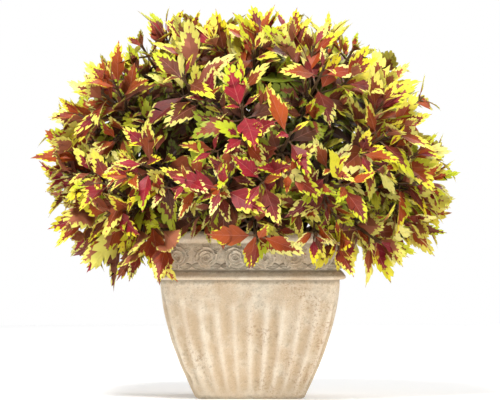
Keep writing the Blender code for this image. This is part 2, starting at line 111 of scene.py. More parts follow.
class Shade:
    """One output of a shader node. Arithmetic on it adds Math nodes, and node() adds any other."""

    def __init__(self, tree, socket=None):
        self.tree, self.socket = tree, socket

    def node(self, kind, settings, sockets, output=0):
        made = self.tree.nodes.new("ShaderNode" + kind)
        for name, value in settings.items():
            if name == "stops":
                stops = made.color_ramp.elements
                while len(stops) > 1:
                    stops.remove(stops[-1])
                stops[0].position, stops[0].color = value[0][0], (*value[0][1], 1)
                for place, colour in value[1:]:
                    stops.new(place).color = (*colour, 1)
            else:
                setattr(made, name, value)
        for name, value in sockets.items():
            if isinstance(value, Shade):
                self.tree.links.new(value.socket, made.inputs[name])
            else:
                made.inputs[name].default_value = value
        return Shade(self.tree, made.outputs[output])

    def maths(self, operation, *values):
        return self.node("Math", {"operation": operation}, dict(enumerate(values)))

    def __add__(self, other):
        return self.maths("ADD", self, other)

    def __sub__(self, other):
        return self.maths("SUBTRACT", self, other)

    def __rsub__(self, other):
        return self.maths("SUBTRACT", other, self)

    def __mul__(self, other):
        return self.maths("MULTIPLY", self, other)

    __radd__, __rmul__ = __add__, __mul__

    def step(self, low, high):
        """0 below low, 1 above high, and a soft step between them."""
        reach = {"Value": self, "From Min": low, "From Max": high}
        return self.node("MapRange", {"interpolation_type": "SMOOTHSTEP"}, reach)

    def blend(self, first, second, mode="MIX"):
        """From the first colour to the second, as this value goes from 0 to 1."""
        colours = [x if isinstance(x, Shade) else (*x, 1) for x in (first, second)]
        settings = {"data_type": "RGBA", "blend_type": mode}
        return self.node("Mix", settings, {0: self, 6: colours[0], 7: colours[1]}, 2)

    def ramp(self, *stops):
        """The colour, or the grey that stands for a number, that the stops give to this value."""
        stops = [(place, shade if isinstance(shade, tuple) else (shade,) * 3) for place, shade in stops]
        return self.node("ValToRGB", {"stops": stops}, {0: self})

    def layer(self, name, output="Fac"):
        """A layer of the mesh."""
        return self.node("Attribute", {"attribute_name": name}, {}, output)

    def grain(self, place, scale, detail=2.0, roughness=0.5):
        sockets = {"Vector": place, "Scale": scale, "Detail": detail, "Roughness": roughness}
        return self.node("TexNoise", {}, sockets)


def new_finish(name):
    """A material, and a Shade to build its nodes with."""
    finish = bpy.data.materials.new(name)
    finish.use_nodes = True
    return finish, Shade(finish.node_tree)


def dress(finish, constants, sockets):
    """Sets the shader's own sockets, from values and from links."""
    shader = finish.node_tree.nodes["Principled BSDF"]
    for name, value in constants.items():
        shader.inputs[name].default_value = value
    for name, value in sockets.items():
        finish.node_tree.links.new(value.socket, shader.inputs[name])


def skin_through(bm, rings):
    """A closed skin: one ring of points, extruded from ring to ring. Returns its points, ring by ring."""
    circle = bmesh.ops.create_circle(bm, cap_ends=True, segments=len(rings[0]), radius=1)
    levels = [circle["verts"]]
    edges = list(dict.fromkeys(edge for vert in levels[0] for edge in vert.link_edges))
    for _ in rings[1:]:
        drawn = bmesh.ops.extrude_edge_only(bm, edges=edges)["geom"]
        risen = {item for item in drawn if isinstance(item, bmesh.types.BMVert)}
        edges = [item for item in drawn if isinstance(item, bmesh.types.BMEdge)]
        edges = [edge for edge in edges if risen.issuperset(edge.verts)]
        rims = [[edge.other_vert(vert) for edge in vert.link_edges] for vert in levels[-1]]
        levels.append([next(vert for vert in ends if vert in risen) for ends in rims])
    bmesh.ops.contextual_create(bm, geom=edges)
    for level, ring in zip(levels, rings):
        for vert, spot in zip(level, ring):
            vert.co = spot
    return levels


def close_skin(bm):
    """Faces turned outwards and shaded smooth."""
    bmesh.ops.recalc_face_normals(bm, faces=bm.faces)
    for face in bm.faces:
        face.smooth = True


def mesh_from(bm, name):
    mesh = bpy.data.meshes.new(name)
    bm.to_mesh(mesh)
    bm.free()
    return mesh


def object_from(bm, name, finish):
    mesh = mesh_from(bm, name)
    mesh.materials.append(finish)
    made = bpy.data.objects.new(name, mesh)
    bpy.context.scene.collection.objects.link(made)
    return made


def perimeter_point(share):
    """Point and outward normal on the rounded square of half width 1, a share of the way round it."""
    reach = 1 - CORNER_SHARE
    arc, straight = CORNER_SHARE * math.pi / 2, 2 * reach
    side, walked = divmod(share % 1 * 4 * (arc + straight), arc + straight)
    bend = min(walked, arc / 2) + max(0, walked - arc / 2 - straight)
    run = min(max(0, walked - arc / 2), straight)
    angle = math.pi / 4 + bend / CORNER_SHARE
    normal = Vector((math.cos(angle), math.sin(angle), 0))
    turn = Matrix.Rotation(side * math.pi / 2, 3, "Z")
    return turn @ (Vector((reach - run, reach, 0)) + CORNER_SHARE * normal), turn @ normal


def body_half(z):
    """Half the width of the bowed side at a height."""
    return FOOT_HALF + (SHOULDER_HALF - FOOT_HALF) * (1 - max(0, 1 - z / SHOULDER_Z) ** SIDE_BOW)


def planter_profile():
    """Outline from the middle of the underside, up the outside, over the lip and down to the floor:
    half width, height, depth of the flutes, and how much grey grime and painted shade darken it there."""
    rows = [(0.02, 0.0, 0, 0.3), (FOOT_HALF - 0.006, 0.0, 0, 0.3), (FOOT_HALF - 0.0025, 0.0003, 0, 0.6)]
    rows += [(body_half(0.002), 0.0022, 0, 0.7), (body_half(0.006), 0.006, 0, 0.45)]
    for step in range(19):
        share = step / 18
        z = FLUTE_LOW_Z + (FLUTE_HIGH_Z - FLUTE_LOW_Z) * share
        fade = min(1, 0.25 + share * 9) * min(1, (1 - share) * 7 + 0.05)
        rows.append((body_half(z), z, FLUTE_DEPTH * fade, 0.12 + 1.4 * max(0, share - 0.82)))
    rows += [(body_half(0.181), 0.181, 0, 0.35), (SHOULDER_HALF, 0.1886, 0, 1.0)]
    collar = [(0.1425, 0.1899, 0.9), (0.1478, 0.1905, 0.2), (0.1502, 0.1920, 0.0), (0.1507, 0.1939, 0.0)]
    collar += [(0.1501, 0.1958, 0.0), (0.1482, 0.1976, 0.1), (0.1458, 0.1993, 0.3), (0.1434, 0.2012, 0.5)]
    collar += [(0.1408, 0.2030, 0.9), (0.1394, 0.2046, 1.0), (0.1402, 0.2060, 0.9)]
    collar += [(FRIEZE_HALF, FRIEZE_LOW_Z, 0.4)]
    for share in (0.2, 0.4, 0.6, 0.8):
        z = FRIEZE_LOW_Z + (FRIEZE_HIGH_Z - FRIEZE_LOW_Z) * share
        collar.append((FRIEZE_HALF + FRIEZE_FLARE * share, z, 0.5))
    collar += [(0.1440, 0.2462, 0.9), (0.1452, 0.2478, 0.6), (0.1478, 0.2490, 0.25), (0.1508, 0.2505, 0.1)]
    collar += [(0.1524, 0.2530, 0.0), (0.1528, 0.2563, 0.0), (0.1522, 0.2600, 0.0), (0.1506, 0.2632, 0.0)]
    collar += [(0.1480, 0.2652, 0.05), (0.1446, RIM_Z, 0.1), (0.1410, RIM_Z, 0.15), (0.1380, 0.2652, 0.2)]
    collar += [(body_half(z) - WALL, z, 0.8) for z in (0.2600, SHOULDER_Z, 0.13, 0.07, FLOOR_THICKNESS)]
    collar += [(0.02, FLOOR_THICKNESS, 0.8)]
    return rows + [(half, z, 0, grime) for half, z, grime in collar]


def rose_relief(share, angle):
    """Height of a rose over its bed: rows of cupped petals wound outwards, each lapping the next one."""
    for row, (reach, petals, hollow, lip) in enumerate(PETAL_ROWS):
        turn = (angle / (2 * math.pi) * petals + ROW_TURN * row) % 1
        edge = reach * (1 - PETAL_LAP + PETAL_LAP * turn**0.7)
        if share < edge:
            cupped = max(0, share / edge - CUP_START) / (1 - CUP_START)
            return Vector((0, 0, hollow + (lip - hollow) * cupped**2 + PETAL_TILT * (turn - 0.5)))
    return Vector((0, 0, -0.0012))


def sprig_relief(share, angle):
    """A pointed leaf with a creased rib, drawn out from the disc it starts as."""
    along, across = share * math.cos(angle), share * math.sin(angle)
    narrowed = math.sqrt(max(0, 1 - along**2)) ** 0.5 * SPRIG_HALF * across - ROSE_RADIUS * across
    crease = CREASE_DEPTH * math.exp(-((across / CREASE_WIDTH) ** 2))
    risen = SPRIG_RISE * (1 - share**2) - crease - 0.0003
    return Vector(((SPRIG_LENGTH / 2 - ROSE_RADIUS) * along, narrowed, risen))


def relief_pattern(name, spokes, loops, relief):
    """A line of points spun into a disc and raised to a relief, with its back sunk behind its rim."""
    bm = bmesh.new()
    grime = bm.verts.layers.float.new("grime")
    line = [bm.verts.new((ROSE_RADIUS * k / loops, 0, 0)) for k in range(loops + 1)]
    line.append(bm.verts.new((0, 0, -BACK_SUNK)))
    chain = [bm.edges.new(ends) for ends in zip(line, line[1:])]
    turn = {"axis": (0, 0, 1), "cent": (0, 0, 0), "angle": 2 * math.pi}
    bmesh.ops.spin(bm, geom=line + chain, steps=spokes, use_merge=True, **turn)
    bmesh.ops.remove_doubles(bm, verts=bm.verts, dist=1e-6)
    for vert in bm.verts:
        if vert.co.z > -BACK_SUNK / 2:
            share = math.hypot(vert.co.x, vert.co.y) / ROSE_RADIUS
            vert.co += relief(share, math.atan2(vert.co.y, vert.co.x))
            # Grey grime with painted shade: the lower a point lies in the relief, the darker its stone.
            vert[grime] = min(1, max(0, 0.95 - vert.co.z / GRIME_AND_SHADE_FADE_HEIGHT))
    return mesh_from(bm, name)


# The stone: sandy cream, tinted over and over

stone, shade = new_finish("cast_stone")
spot = shade.node("TexCoord", {}, {}, "Object")
# The first layer holds grey grime together with painted shade in the hollows and under the mouldings.
grime, hollow = shade.layer("grime"), shade.layer("hollow")
east, height = (shade.node("SeparateXYZ", {}, {0: spot}, k) for k in (0, 2))
clouds = shade.grain(spot, 19, 5, 0.65)
streaks = shade.grain(shade.node("Mapping", {}, {"Vector": spot, "Scale": (1, 1, 0.20)}), 46, 4, 0.65)
speckle = shade.grain(spot, 620, 2, 0.7)
mottle = shade.grain(spot, 150, 5, 0.75)
pits = shade.grain(spot, 300, 2, 0.6).step(0.64, 0.76)
# Painted shade in the flute hollows, broken up by clouds and fading up the body.
flute_shade = (hollow + (clouds - 0.5) * 1.6) * (1 - height.step(0.10, 0.19) * 0.5)
flute_shade = flute_shade * (0.35 + shade.grain(spot, 26, 2).step(0.38, 0.56) * 0.65)
# Painted highlight on the flute ridges and plain stone of the lower body, fading out above 0.13 m.
crest_highlight = (1 - hollow).step(0.45, 1.0) * (1 - height.step(0.13, 0.17))
stained = (shade.grain(spot, 15, 3, 0.6) + east * 0.9 - height * 0.25).step(0.47, 0.66)
specks = shade.grain(spot, 210, 4, 0.75).step(0.50, 0.62)
# Grey grime and painted shade: dark where that layer is high, broken up by clouds and mottle.
dirt_and_shade = (grime + (clouds - 0.5) * 1.0 + (mottle - 0.5) * 0.7).step(0.30, 1.05)
# Each tint: where it lies, how strong it is, and its colour
tints = (
    # partly painted shade: the east side, on the right in view, darkens towards tan, along with its browner
    # weathering
    (east.step(-0.02, 0.14), 0.26, (0.56, 0.42, 0.275)),
    (mottle.step(0.44, 0.66), 0.34, (0.52, 0.39, 0.26)),
    (streaks.step(0.53, 0.74), 0.42, (0.50, 0.33, 0.19)),
    (shade.grain(spot, 33, 5, 0.7).step(0.56, 0.72), 0.30, (0.54, 0.47, 0.36)),
    (speckle.step(0.52, 0.72), 0.38, (0.33, 0.25, 0.17)),
    (speckle.step(0.46, 0.26), 0.30, (0.92, 0.85, 0.72)),
    # painted shade in the flute hollows
    (flute_shade.step(0.15, 1.0), 0.58, (0.53, 0.375, 0.215)),
    # painted highlight on the flute ridges of the lower body
    (crest_highlight, 0.28, (0.93, 0.84, 0.69)),
    (stained * specks, 0.62, (0.37, 0.22, 0.115)),
    (pits, 0.45, (0.25, 0.18, 0.11)),
    (1 - height.step(0.004, 0.050), 0.34, (0.44, 0.33, 0.20)),
    # grey grime with painted shade in the hollows and under the mouldings
    (dirt_and_shade, 0.66, (0.150, 0.118, 0.072)),
)
colour = clouds.step(0.36, 0.64).blend((0.645, 0.497, 0.334), (0.79, 0.69, 0.537))
for mask, strength, tint in tints:
    colour = (mask * strength).blend(colour, tint)
relief = speckle * 0.6 - pits * 1.0 + mottle * 1.3
bump = shade.node("Bump", {}, {"Strength": 0.8, "Distance": 0.0012, "Height": relief})
dress(stone, {"Roughness": 0.9, "Specular IOR Level": 0.25}, {"Base Color": colour, "Normal": bump})

points_round = 4 * FLUTES_PER_SIDE * POINTS_PER_FLUTE
around = [perimeter_point(k / points_round) for k in range(points_round)]
waves = [0.5 - 0.5 * math.cos(2 * math.pi * k / POINTS_PER_FLUTE) for k in range(POINTS_PER_FLUTE)]
hollows = [wave**0.75 for wave in waves]
profile = planter_profile()
rings = []
for half, z, depth, _ in profile:
    ring = []
    for k, (point, normal) in enumerate(around):
        spot = point * half - normal * depth * hollows[k % POINTS_PER_FLUTE]
        spot.z = z
        spot -= normal * CHIP_DEPTH * max(0, 1 - (spot - CHIP).length / CHIP_RADIUS) ** 0.6
        if FLUTE_LOW_Z / 2 < z < RIM_Z - 0.004:
            spot += normal * WEATHERING * noise.noise(spot * WEATHERING_SCALE)
        ring.append(spot)
    rings.append(ring)
casting = bmesh.new()
grime_and_shade_layer = casting.verts.layers.float.new("grime")
hollow_layer = casting.verts.layers.float.new("hollow")
# Grey grime with painted shade: each row's amount from the profile, and more in the flute hollows.
for level, (_, _, depth, row_darkening) in zip(skin_through(casting, rings), profile):
    for k, vert in enumerate(level):
        vert[hollow_layer] = hollows[k % POINTS_PER_FLUTE] * depth / FLUTE_DEPTH
        vert[grime_and_shade_layer] = min(1, row_darkening + 0.30 * vert[hollow_layer])
rose = relief_pattern("rose", 60, 22, rose_relief)
sprig = relief_pattern("sprig", 18, 5, sprig_relief)
for k in range(4 * ROSES_PER_SIDE):
    spot, outward = perimeter_point((k + 0.5) / (4 * ROSES_PER_SIDE))
    place = spot * (FRIEZE_HALF + FRIEZE_FLARE / 2)
    place.z = ROSE_MIDDLE_Z
    bed = Matrix.Translation(place) @ outward.to_track_quat("Z", "Y").to_matrix().to_4x4()
    shapes = [(rose, Matrix.Rotation(random.Random(k).uniform(0, 2 * math.pi), 4, "Z"))]
    for right, up, lean in SPRIG_PLACES:
        turned = Matrix.Rotation(math.radians(lean), 4, "Z")
        shapes.append((sprig, Matrix.Translation((right, up, 0)) @ turned))
    for shape, laid in shapes:
        first = len(casting.verts)
        casting.from_mesh(shape)
        casting.verts.ensure_lookup_table()
        bmesh.ops.transform(casting, matrix=bed @ laid, verts=casting.verts[first:])
bpy.data.meshes.remove(rose)
bpy.data.meshes.remove(sprig)
close_skin(casting)
planter = object_from(casting, "planter_casting", stone)
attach(planter, "root")
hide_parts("planter")


# Potting soil. Dark peat with bark crumbs, filled to a finger's width below the lip and
# settled round the stems, held by the planter's walls.

SOIL_TOP_Z = 0.240
SOIL_GAP = 0.0004
SOIL_LEVELS = (FLOOR_THICKNESS + SOIL_GAP, 0.07, 0.13, SHOULDER_Z, SOIL_TOP_Z - 0.004)
SOIL_RINGS = 25
SOIL_POINTS = 96
LUMP_HEIGHT = 0.0022
LUMP_SCALE = 55


peat, shade = new_finish("potting_soil")
spot = shade.node("TexCoord", {}, {}, "Object")
crumbs = shade.node("TexVoronoi", {}, {"Vector": spot, "Scale": 170.0})
lumps = shade.grain(spot, 95, 5, 0.7)
colour = lumps.step(0.35, 0.65).blend((0.014, 0.009, 0.006), (0.060, 0.038, 0.022))
colour = (shade.grain(spot, 330, 2, 0.5).step(0.66, 0.72) * 0.8).blend(colour, (0.22, 0.15, 0.09))
relief = lumps * 1.4 - crumbs * 0.8
bump = shade.node("Bump", {}, {"Strength": 1.0, "Distance": 0.003, "Height": relief})
dress(peat, {"Roughness": 0.95, "Specular IOR Level": 0.2}, {"Base Color": colour, "Normal": bump})

square = [perimeter_point(k / SOIL_POINTS)[0] for k in range(SOIL_POINTS)]
rings = []
for z in SOIL_LEVELS:
    half = body_half(z) - WALL - SOIL_GAP
    rings.append([(p.x * half, p.y * half, z) for p in square])
for step in range(1, SOIL_RINGS):
    inner = half * (1 - step / SOIL_RINGS)
    ring = []
    for p in square:
        lump = noise.fractal(Vector((p.x * inner, p.y * inner, 0.3)) * LUMP_SCALE, 1.0, 2.0, 4)
        ring.append((p.x * inner, p.y * inner, SOIL_TOP_Z + LUMP_HEIGHT * lump))
    rings.append(ring)
bed = bmesh.new()
skin_through(bed, rings)
close_skin(bed)
soil = object_from(bed, "soil_bed", peat)
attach(soil, "root")
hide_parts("soil")


# Coleus stems. Square, fleshy and pinkish green, each rooted in the soil and arching out to its place
# on the mound. The main ones stand where the solids have them, and side shoots branch from them.

STEMS = 41
STEM_BURIED = 0.030
MOUND_CENTRE_Z = 0.380
MOUND_RADIUS = 0.300
MOUND_RISE = 0.205
MOUND_SQUARENESS = 2.4
LEAST_FORWARD = 0.02
MOST_LEAN = 150
LOWEST_TIP_Z = 0.238
LOW_CROWDING = 1.5
GOLDEN_ANGLE = math.pi * (3 - math.sqrt(5))
PLANTED_RADIUS = 0.104
# Tips of the main stems at the front: how far right and how high
FRONT_SHOOTS = (
    (0.062, 0.420), (-0.104, 0.510), (0.115, 0.522), (-0.012, 0.462),
    (-0.045, 0.334), (-0.165, 0.372), (0.150, 0.340), (0.012, 0.252),
)
RISE = 0.42
ARCHING_RISE = 0.25
TIP_RUN = 0.36
TIP_LIFT = 0.10
TIP_DROOP = 0.55
AIM_BELOW_CENTRE = 0.09
STEM_HALF_LOW = 0.0034
STEM_HALF_TIP = 0.0017
TAPER_SHARE = 0.7
NODE_HEIGHT = 0.0050
APEX_LENGTH = 0.006
CURVE_STEPS = 80
LIGHT_HEIGHT = 0.22


def tube_tree(rings, capped=False):
    """The rings joined up, and closed on top if capped, for telling what a leaf would cross."""
    count = len(rings[0])
    points = [corner for ring in rings for corner in ring]
    faces = [list(range(len(points) - count, len(points)))] if capped else []
    for low in range(0, len(points) - count, count):
        for k in range(count):
            after = (k + 1) % count
            faces.append((low + k, low + after, low + after + count, low + k + count))
    return BVHTree.FromPolygons(points, faces)


def mound_share(across, up):
    """1 on the dome that the tips lie on, less inside it, so far out and so far above its middle."""
    return (across / MOUND_RADIUS) ** MOUND_SQUARENESS + abs(up / MOUND_RISE) ** MOUND_SQUARENESS


def mound_profile(steps=240):
    """The dome's outline as (radius, height), from its top down to the lowest shoots."""
    outline = []
    for step in range(steps + 1):
        lean = math.radians(MOST_LEAN) * step / steps
        across, up = math.sin(lean), math.cos(lean)
        reach = mound_share(across, up) ** (-1 / MOUND_SQUARENESS)
        outline.append((across * reach, MOUND_CENTRE_Z + up * reach))
    return np.array([spot for spot in outline if spot[1] >= LOWEST_TIP_Z])


def spread_tips(count):
    """Tips spread over the dome by the golden angle, closer together below."""
    profile = mound_profile()
    steps = np.hypot(*np.diff(profile, axis=0).T)
    crowding = np.where(profile[1:, 1] < MOUND_CENTRE_Z, LOW_CROWDING, 1)
    rings = (profile[1:, 0] + profile[:-1, 0]) / 2 * steps * crowding
    area = np.concatenate([[0], np.cumsum(rings)])
    tips = []
    for k in range(count):
        wanted = area[-1] * (k + 0.5) / count
        radius = float(np.interp(wanted, area, profile[:, 0]))
        height = float(np.interp(wanted, area, profile[:, 1]))
        angle = k * GOLDEN_ANGLE
        tips.append(Vector((radius * math.cos(angle), radius * math.sin(angle), height)))
    return tips


def front_of_mound(x, z):
    """The place on the front of the dome that is so far right and so high."""
    level = abs(z - MOUND_CENTRE_Z) / MOUND_RISE
    radius = MOUND_RADIUS * max(0, 1 - level**MOUND_SQUARENESS) ** (1 / MOUND_SQUARENESS)
    return Vector((x, -math.sqrt(max(LEAST_FORWARD**2, radius**2 - x**2)), z))


def main_tips():
    """The tips of the main stems, with the front ones in their own places."""
    tips = spread_tips(STEMS)
    free = list(range(STEMS))
    for x, z in FRONT_SHOOTS:
        place = front_of_mound(x, z)
        nearest = min(free, key=lambda k: (tips[k] - place).length)
        free.remove(nearest)
        tips[nearest] = place
    return tips


def growing_aim(tip):
    """The direction a shoot points at its tip: out from the mound, up on top and drooping below."""
    droop = min(1, max(0, (MOUND_CENTRE_Z - tip.z) / (MOUND_CENTRE_Z - LOWEST_TIP_Z)))
    aim = (tip - Vector((0, 0, MOUND_CENTRE_Z - AIM_BELOW_CENTRE))).normalized()
    aim.z += TIP_LIFT - TIP_DROOP * droop
    return aim.normalized(), droop


class Stem:
    """A curve from a root to a tip, with the frame of its square section. The size and openness are those
    of its leaves, which turn a share of the way to the light."""

    half_low, half_tip = STEM_HALF_LOW, STEM_HALF_TIP
    size, openness, light_turn, at_edge = 1, 1, 0.35, False

    def __init__(self, number, handles, twist):
        self.number, self.handles, self.twist = number, handles, twist
        tip = handles[-1]
        self.across = Vector((-tip.y, tip.x, 0)).normalized()
        walked = np.array([self.point(step / CURVE_STEPS) for step in range(CURVE_STEPS + 1)])
        strides = np.linalg.norm(np.diff(walked, axis=0), axis=1)
        self.walked = np.concatenate([[0], np.cumsum(strides)])
        self.length = float(self.walked[-1])

    def point(self, share):
        rest = 1 - share
        weights = (rest**3, 3 * rest**2 * share, 3 * rest * share**2, share**3)
        return sum((handle * weight for handle, weight in zip(self.handles, weights)), Vector())

    def frame(self, from_tip):
        """Point, direction of growth and the two directions square to it, at a distance from the tip."""
        shares = np.linspace(0, 1, CURVE_STEPS + 1)
        share = float(np.interp(self.length - from_tip, self.walked, shares))
        growth = (self.point(min(share + 0.01, 1)) - self.point(max(share - 0.01, 0))).normalized()
        first = (self.across - growth * self.across.dot(growth)).normalized()
        return self.point(share), growth, first, growth.cross(first)

    def outward(self, from_tip, quarters):
        """The direction square to the stem, so many quarter turns round from its first face."""
        _, _, first, second = self.frame(from_tip)
        angle = self.twist + quarters * math.pi / 2
        return first * math.cos(angle) + second * math.sin(angle)

    def half_at(self, from_tip):
        share = min(1, from_tip / (TAPER_SHARE * self.length))
        return self.half_tip + (self.half_low - self.half_tip) * share

    def light_at(self, point):
        """The light comes from above and from outside the mound."""
        return Vector((point.x, point.y, LIGHT_HEIGHT)).normalized()

    def section(self, from_tip, half, corner=0.0):
        """A square ring, or one with its corners cut by a share of its half width."""
        point = self.frame(from_tip)[0]
        if not corner:
            return [point + self.outward(from_tip, k + 0.5) * half * math.sqrt(2) for k in range(4)]
        ring = []
        for k in range(4):
            face, after = self.outward(from_tip, k), self.outward(from_tip, k + 1)
            ring.append(point + (face + after * (1 - corner)) * half)
            ring.append(point + (face * (1 - corner) + after) * half)
        return ring

    def stations(self, distances):
        """Distances from the tip of the rings under and over each pair of leaves, from the foot up."""
        found = [self.length - 0.002, (self.length + distances[-1]) / 2]
        for distance in reversed(distances):
            found += [distance + NODE_HEIGHT / 2, distance - NODE_HEIGHT / 2]
        return found

    def tree(self, distances):
        """The plain square stem."""
        low = self.section(self.length, self.half_low)
        rings = [[Vector((*corner.xy, SOIL_TOP_Z - STEM_BURIED)) for corner in low]]
        return tube_tree(rings + [self.section(at, self.half_at(at)) for at in self.stations(distances)])


def main_stem(number, tip):
    planted = PLANTED_RADIUS * math.sqrt((number + 0.5) / STEMS)
    turn = number * GOLDEN_ANGLE
    root = Vector((planted * math.cos(turn), planted * math.sin(turn), SOIL_TOP_Z))
    aim, droop = growing_aim(tip)
    reach = (tip - root).length
    rise = Vector((0, 0, (RISE + ARCHING_RISE * droop) * reach))
    handles = (root, root + rise, tip - aim * TIP_RUN * reach, tip)
    return Stem(number, handles, random.Random(7000 + number).uniform(0, math.pi / 2))


# Coleus leaves. Soft, velvety blades with a crimson or rust heart and a yellow border cut into forward
# teeth, pale veins and a greener back. They grow from the stems in crossed pairs on short stalks, small
# and upright round each tip, larger and spreading below, dark and green where the mound shades them.

PAIR_DISTANCES = (0.006, 0.020, 0.040, 0.066)
LEAF_LENGTHS = (0.058, 0.080, 0.092, 0.090)
LEAF_ANGLES = (38, 64, 84, 98)
OLD_DISTANCES = (0.094, 0.124, 0.158)
OLD_LENGTHS = (0.076, 0.068, 0.058)
OLD_ANGLES = (104, 108, 112)
BLADE_ASPECT = 0.62
PETIOLE_SHARE = 0.16
PETIOLE_HALF = 0.0013
RIB_HALF = 0.0010
RIB_SHARE = 0.50
BLADE_SKEW = 0.85
BLADE_FULLNESS = 0.75
FOLD = math.radians(16)
SWING = (8, 34)
TILT = (8, 26)
LENGTH_SPREAD = (0.90, 1.14)
MOST_SHRINK = 0.36
ARCH = (0.10, 0.45)
SAG = 0.75
TRIES = 26
TEST_THICKENING = 1.5
MOST_LEAVES = 5000
MAIN_PAIRS = len(PAIR_DISTANCES)
ALL_PAIRS = MAIN_PAIRS + len(OLD_DISTANCES)
# The plain solid's edge: a place along the rib and how far out the edge reaches there
YOUNG_EDGE = ((0.36, 1.0), (0.48, 0.62), (0.68, 1.0))
FULL_EDGE = ((0.27, 0.94), (0.36, 0.62), (0.51, 1.0), (0.60, 0.60), (0.76, 1.0))


class Leaf:
    """One blade on its petiole, bent along an arc. Its test points are those of its plain solid."""

    def __init__(self, origin, along, normal, length, bend, young):
        self.origin, self.along, self.normal = origin, along, normal
        self.across = along.cross(normal)
        self.length, self.bend = length, bend
        self.edge = YOUNG_EDGE if young else FULL_EDGE
        self.widest = BLADE_ASPECT / 2 * length * (1 - PETIOLE_SHARE)

    def spot(self, share, sideways, lift):
        """A point at a share of the blade's length, so far sideways and so far off the rib's own line."""
        walked = self.length * (PETIOLE_SHARE + (1 - PETIOLE_SHARE) * share)
        turned = self.bend * walked / self.length
        radius = self.length / self.bend
        forward = self.along * radius * math.sin(turned)
        down = self.normal * radius * (1 - math.cos(turned))
        upward = self.along * math.sin(turned) + self.normal * math.cos(turned)
        return self.origin + forward - down + self.across * sideways + upward * lift

    def points(self):
        """Right edge, left edge, upper rib, lower rib and tip, in that order."""
        found = []
        for hand in (1, -1):
            found.append(self.spot(0, hand * PETIOLE_HALF, 0))
            for share, reach in self.edge:
                half = self.widest * reach * math.sin(math.pi * share**BLADE_SKEW) ** BLADE_FULLNESS
                found.append(self.spot(share, hand * half * math.cos(FOLD), half * math.sin(FOLD)))
        for lift in (TEST_THICKENING * RIB_HALF, -TEST_THICKENING * RIB_HALF):
            found += [self.spot(0, 0, lift), self.spot(RIB_SHARE, 0, lift)]
        return found + [self.spot(1, 0, 0)]

    def faces(self):
        """The blade's triangles, split alike on its upper and lower faces."""
        count = len(self.edge) + 1
        tip = 2 * count + 4
        turn = len(self.edge) // 2
        triangles = []
        for first in (0, count):
            chain = list(range(first, first + count)) + [tip]
            for rib in (2 * count, 2 * count + 2):
                triangles += [(rib, a, b) for a, b in zip(chain[:turn], chain[1 : turn + 1])]
                triangles.append((rib, chain[turn], rib + 1))
                triangles += [(rib + 1, a, b) for a, b in zip(chain[turn:], chain[turn + 1 :])]
        return triangles

    def trees(self):
        """The blade, a little thickened, and the same with its petiole."""
        points, faces = self.points(), self.faces()
        base, count = len(points), len(self.edge) + 1
        petiole = [(base, 0, count), (base, 2 * count, 2 * count + 2)]
        blade = BVHTree.FromPolygons(points, faces)
        return blade, BVHTree.FromPolygons(points + [self.origin], faces + petiole)


def proposed_leaf(stem, pair, hand, attempt, draw):
    """The leaf as its rule gives it, or at a later attempt one that is turned, raised or shortened."""
    distance = (PAIR_DISTANCES + OLD_DISTANCES)[pair] * stem.size
    loosened = attempt / TRIES
    swing, tilt = (math.radians(first + more * loosened) for first, more in (SWING, TILT))
    point, growth, _, _ = stem.frame(distance)
    outward = stem.outward(distance, pair % 2 + 2 * hand)
    swung = draw.uniform(-1, 1) * swing
    angle = math.radians((LEAF_ANGLES + OLD_ANGLES)[pair]) * stem.openness + draw.uniform(-1, 1) * tilt
    length = (LEAF_LENGTHS + OLD_LENGTHS)[pair] * draw.uniform(*LENGTH_SPREAD) * (1 - MOST_SHRINK * loosened)
    outward = outward * math.cos(swung) + growth.cross(outward) * math.sin(swung)
    along = growth * math.cos(angle) + outward * math.sin(angle)
    normal = growth * math.sin(angle) - outward * math.cos(angle)
    # The blade rolls part of the way round to face the light.
    light = stem.light_at(point)
    side = along.cross(normal)
    roll = stem.light_turn * math.atan2(light.dot(side), max(light.dot(normal), 0.2))
    normal = normal * math.cos(roll) + side * math.sin(roll)
    bend = draw.uniform(*ARCH) + SAG * (1 - abs(along.z)) * max(normal.z, 0)
    origin = point + outward * stem.half_at(distance) * 0.8
    return Leaf(origin, along, normal, length * stem.size, bend, pair == 0)


def planter_tree():
    """A plain block round the planter with its corners cut off, which no leaf may enter."""
    levels = ((0.100, 0.0), (0.140, 0.10), (0.158, SHOULDER_Z), (0.158, RIM_Z + 0.004))
    cut = 1 - CORNER_SHARE
    quarter = [Vector((1, cut, 0)), Vector((cut, 1, 0))]
    turns = [Matrix.Rotation(k * math.pi / 2, 3, "Z") for k in range(4)]
    corners = [turn @ corner for turn in turns for corner in quarter]
    rings = [[Vector((corner.x * half, corner.y * half, z)) for corner in corners] for half, z in levels]
    return tube_tree(rings, capped=True)


class Thicket:
    """What a new leaf has to stay clear of: the planter, the stems and the leaves that are there already."""

    def __init__(self, stems):
        self.planter = planter_tree()
        self.stems = [stem.tree(PAIR_DISTANCES) for stem in stems]
        self.leaves = []
        self.places = np.zeros((MOST_LEAVES, 4))

    def takes(self, number, leaf):
        """Whether the leaf crosses nothing. Leaves of its own stem may touch its petiole, not its blade."""
        blade, whole = leaf.trees()
        if whole.overlap(self.planter) or blade.overlap(self.stems[number]):
            return False
        if any(whole.overlap(tree) for k, tree in enumerate(self.stems) if k != number):
            return False
        middle = leaf.spot(0.4, 0, 0)
        reach = 0.62 * leaf.length
        count = len(self.leaves)
        apart = np.linalg.norm(self.places[:count, :3] - np.array(middle), axis=1)
        for near in np.flatnonzero(apart < self.places[:count, 3] + reach):
            owner, tree = self.leaves[near]
            if (blade if owner == number else whole).overlap(tree):
                return False
        self.places[count] = (*middle, reach)
        self.leaves.append((number, whole))
        return True


